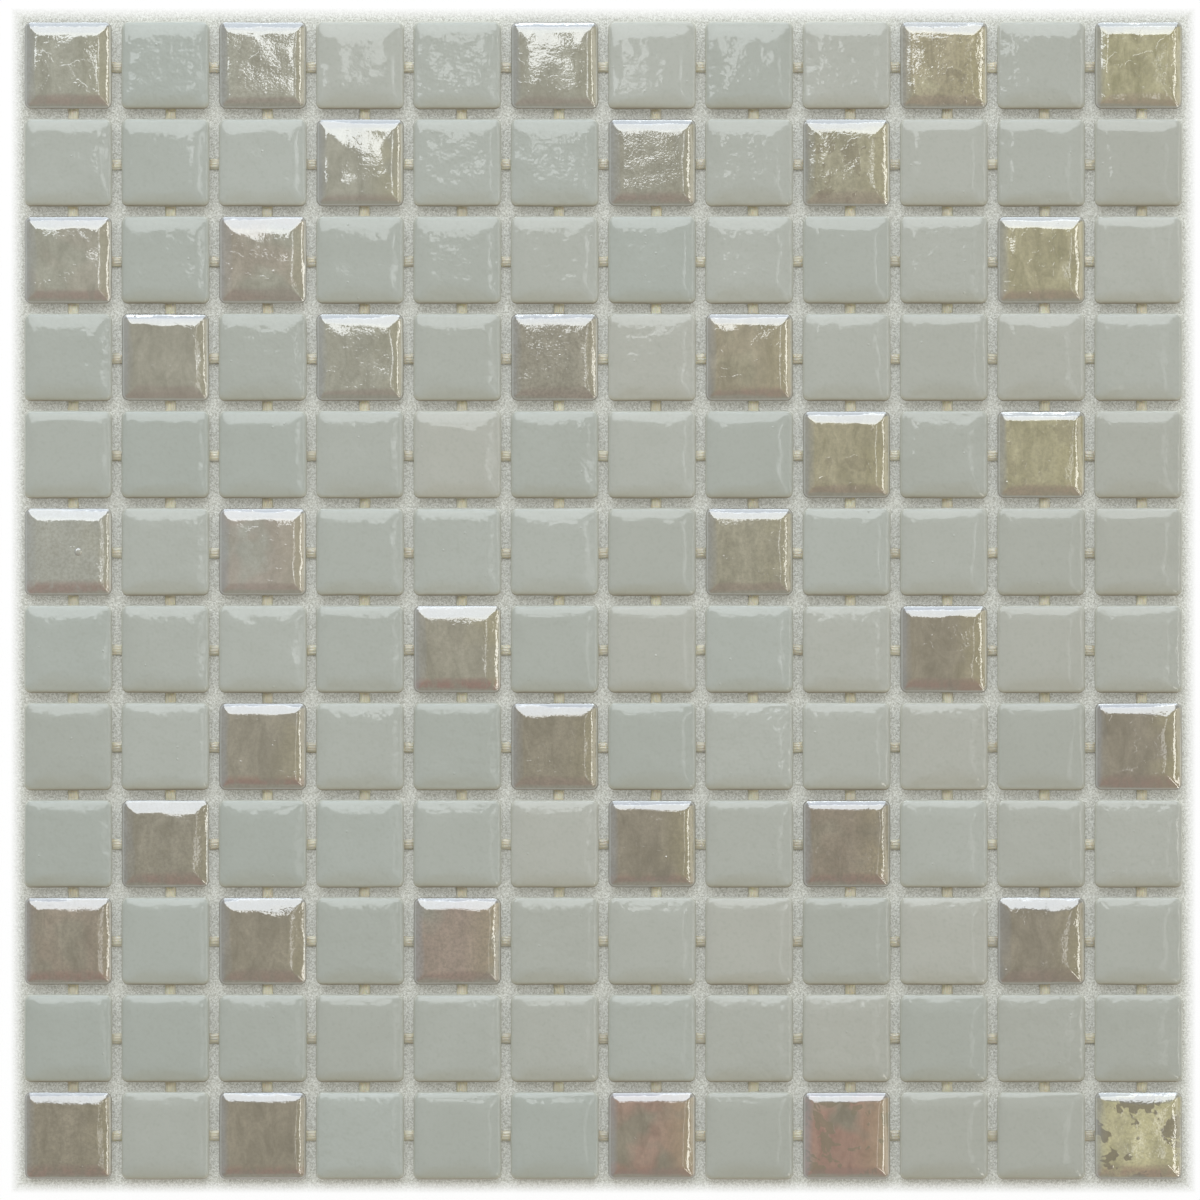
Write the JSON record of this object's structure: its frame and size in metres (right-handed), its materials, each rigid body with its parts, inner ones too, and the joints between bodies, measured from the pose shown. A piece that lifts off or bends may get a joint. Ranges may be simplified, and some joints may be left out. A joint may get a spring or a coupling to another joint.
{
  "type": "mosaic tile sheet",
  "caption": "Sheet of small square pressed glass mosaic tiles, plain grey-green with lustre-coated ones among them, held at an even spacing by short strips under their backs.",
  "frame": {"origin": "middle of the sheet, on the plane that the undersides of the joint strips rest on", "axes": "+Z out of the glass faces, +X to the right along the rows and +Y up the columns, as seen from the front"},
  "size_m": [0.3304, 0.3304, 0.0048],
  "materials": {
    "plain_glass": "glossy grey-green opal glass",
    "lustre_glass": "glossy olive-brown glass with an iridescent coat",
    "joint_strip": "glossy translucent amber plastic"
  },
  "bodies": {
    "root": {"joint_strips_along_row_01": "joint_strip", "joint_strips_along_row_02": "joint_strip", "joint_strips_along_row_03": "joint_strip", "joint_strips_along_row_04": "joint_strip", "joint_strips_along_row_05": "joint_strip", "joint_strips_along_row_06": "joint_strip", "joint_strips_along_row_07": "joint_strip", "joint_strips_along_row_08": "joint_strip", "joint_strips_along_row_09": "joint_strip", "joint_strips_along_row_10": "joint_strip", "joint_strips_along_row_11": "joint_strip", "joint_strips_along_row_12": "joint_strip", "joint_strips_below_row_01": "joint_strip", "joint_strips_below_row_02": "joint_strip", "joint_strips_below_row_03": "joint_strip", "joint_strips_below_row_04": "joint_strip", "joint_strips_below_row_05": "joint_strip", "joint_strips_below_row_06": "joint_strip", "joint_strips_below_row_07": "joint_strip", "joint_strips_below_row_08": "joint_strip", "joint_strips_below_row_09": "joint_strip", "joint_strips_below_row_10": "joint_strip", "joint_strips_below_row_11": "joint_strip", "lustre_tiles_row_01": "lustre_glass", "lustre_tiles_row_02": "lustre_glass", "lustre_tiles_row_03": "lustre_glass", "lustre_tiles_row_04": "lustre_glass", "lustre_tiles_row_05": "lustre_glass", "lustre_tiles_row_06": "lustre_glass", "lustre_tiles_row_07": "lustre_glass", "lustre_tiles_row_08": "lustre_glass", "lustre_tiles_row_09": "lustre_glass", "lustre_tiles_row_10": "lustre_glass", "lustre_tiles_row_12": "lustre_glass", "plain_tiles_row_01": "plain_glass", "plain_tiles_row_02": "plain_glass", "plain_tiles_row_03": "plain_glass", "plain_tiles_row_04": "plain_glass", "plain_tiles_row_05": "plain_glass", "plain_tiles_row_06": "plain_glass", "plain_tiles_row_07": "plain_glass", "plain_tiles_row_08": "plain_glass", "plain_tiles_row_09": "plain_glass", "plain_tiles_row_10": "plain_glass", "plain_tiles_row_11": "plain_glass", "plain_tiles_row_12": "plain_glass"}
  },
  "joints": []
}
